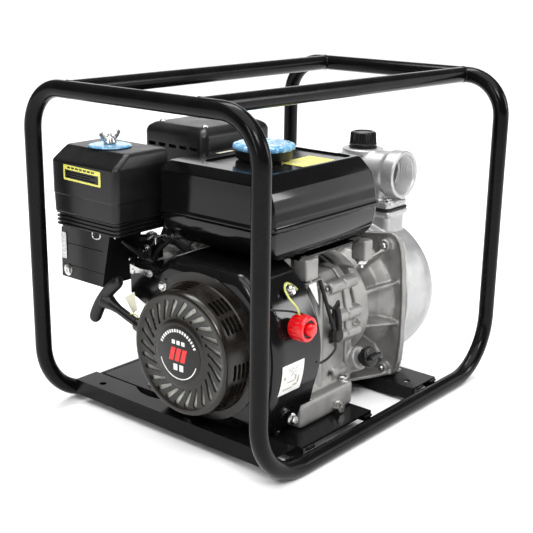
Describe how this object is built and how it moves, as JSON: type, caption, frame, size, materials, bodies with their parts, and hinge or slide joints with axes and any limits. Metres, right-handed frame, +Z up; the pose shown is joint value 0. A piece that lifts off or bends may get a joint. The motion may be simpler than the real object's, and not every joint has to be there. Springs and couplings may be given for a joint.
{
  "type": "gas engine trash pump",
  "caption": "Petrol-engine water pump in a carrying frame of bent black tube, with recoil starter, fuel tank, air cleaner, silencer and cast aluminium pump casing.",
  "frame": {"origin": "centre of the frame's footprint, on the ground", "axes": "+X along the crankshaft towards the pump's suction port, +Z up; the stop switch and discharge port are on the -Y side"},
  "size_m": [0.5426, 0.3998, 0.4489],
  "materials": {
    "frame_tube": "gloss black paint",
    "housing_paint": "gloss black paint",
    "tank_paint": "gloss black paint",
    "plastic_black": "satin",
    "starter_black": "satin black paint",
    "rubber": "matt",
    "cast_aluminium": "as cast, bead blasted",
    "pump_aluminium": "as cast, tumbled bright",
    "steel": "zinc plated",
    "dark_steel": "dull",
    "cast_iron": "as cast",
    "switch_red": "gloss",
    "film_blue": "zinc plated under blue film",
    "brass": "plain",
    "foam": "open cell",
    "white_ceramic": "glazed"
  },
  "bodies": {
    "frame": {"air_cleaner_case": "plastic_black", "air_cleaner_cover": "plastic_black", "air_cleaner_washer": "film_blue", "air_filter_element": "foam", "blower_housing": "housing_paint", "carburettor": "cast_aluminium", "crankcase": "cast_aluminium", "cylinder_head": "cast_aluminium", "discharge_elbow": "pump_aluminium", "discharge_gasket": "rubber", "engine_plate": "frame_tube", "engine_switch": "switch_red", "exhaust_pipe": "cast_iron", "float_bowl": "steel", "front_bearing": "steel", "fuel_strainer": "brass", "ignition_coil": "plastic_black", "mechanical_seal": "rubber", "muffler": "dark_steel", "muffler_shield": "housing_paint", "oil_drain_bolt": "steel", "oil_plug_gasket": "rubber", "piston": "cast_aluminium", "priming_gasket": "rubber", "pump_bracket": "cast_aluminium", "pump_casing": "pump_aluminium", "pump_drain_plug": "brass", "pump_end_channel": "frame_tube", "pump_end_hoop": "frame_tube", "rear_bearing": "steel", "recoil_cover": "starter_black", "recoil_end_channel": "frame_tube", "recoil_end_hoop": "frame_tube", "rocker_cover": "housing_paint", "side_cover": "cast_aluminium", "spark_plug": "white_ceramic", "spark_plug_cap": "rubber", "tank_bracket": "cast_aluminium", "tank_lower": "tank_paint", "tank_upper": "tank_paint", "top_rail_far": "frame_tube", "top_rail_near": "frame_tube", "volute": "cast_iron"},
    "crank": {"crankshaft": "steel", "flywheel": "cast_iron", "cooling_fan": "plastic_black", "starter_cup": "dark_steel", "impeller": "cast_iron"},
    "cam": {"camshaft": "dark_steel"},
    "reel": {"starter_reel": "plastic_black"},
    "handle": {"starter_handle": "plastic_black"},
    "tank_cap": {"fuel_cap": "film_blue"},
    "priming_plug": {"priming_cap": "plastic_black"},
    "oil_plug": {"oil_filler_plug": "plastic_black"},
    "cover_nut": {"wing_nut": "steel"},
    "stop_button": {"switch_button": "switch_red"},
    "throttle": {"throttle_lever": "steel"},
    "choke": {"choke_lever": "steel"},
    "fuel_cock": {"fuel_cock_lever": "plastic_black"},
    "flap": {"check_valve_flap": "rubber"}
  },
  "joints": [
    {"name": "crank_spin", "type": "hinge", "parent": "frame", "child": "crank", "pos_m": [0, -0.043, 0.132], "axis": [1, 0, 0], "continuous": true},
    {"name": "cam_spin", "type": "hinge", "parent": "frame", "child": "cam", "pos_m": [0, 0.00296, 0.09343], "axis": [1, 0, 0], "continuous": true},
    {"name": "handle_pull", "type": "slide", "parent": "frame", "child": "handle", "axis": [0, 0.952, 0.306], "range_m": [0, 0.12], "stiffness_N_per_m": 20},
    {"name": "reel_turn", "type": "hinge", "parent": "frame", "child": "reel", "pos_m": [0, -0.043, 0.132], "axis": [1, 0, 0], "range_deg": [-156, 0]},
    {"name": "fuel_cap_turn", "type": "hinge", "parent": "frame", "child": "tank_cap", "pos_m": [-0.07, -0.032, 0.3695], "axis": [0, 0, 1], "range_deg": [0, 90]},
    {"name": "priming_cap_turn", "type": "hinge", "parent": "frame", "child": "priming_plug", "pos_m": [0.152, -0.031, 0.3376], "axis": [0, 0, 1], "range_deg": [0, 350]},
    {"name": "oil_plug_turn", "type": "hinge", "parent": "frame", "child": "oil_plug", "pos_m": [0.004, -0.15021, 0.0862], "axis": [0, -0.9404, 0.3401], "range_deg": [0, 350]},
    {"name": "wing_nut_turn", "type": "hinge", "parent": "frame", "child": "cover_nut", "pos_m": [-0.1915, 0.1225, 0.3646], "axis": [0, 0, 1], "range_deg": [0, 350]},
    {"name": "button_press", "type": "slide", "parent": "frame", "child": "stop_button", "axis": [0, 1, 0], "range_m": [0, 0.004], "stiffness_N_per_m": 1500},
    {"name": "throttle_swing", "type": "hinge", "parent": "frame", "child": "throttle", "pos_m": [-0.2015, 0.075, 0.206], "axis": [1, 0, 0], "range_deg": [0, 40]},
    {"name": "choke_swing", "type": "hinge", "parent": "frame", "child": "choke", "pos_m": [-0.146, 0.119, 0.196], "axis": [0, 1, 0], "range_deg": [0, 55]},
    {"name": "fuel_cock_swing", "type": "hinge", "parent": "frame", "child": "fuel_cock", "pos_m": [-0.162, 0.104, 0.171], "axis": [1, 0, 0], "range_deg": [0, 80]},
    {"name": "flap_swing", "type": "hinge", "parent": "frame", "child": "flap", "pos_m": [0.1984, -0.043, 0.168], "axis": [0, 1, 0], "range_deg": [0, 35]}
  ],
  "couplings": [
    {"joint": "cam_spin", "follows": "crank_spin", "ratio": -0.5},
    {"joint": "reel_turn", "follows": "handle_pull", "rad_per_m": -22.222}
  ]
}
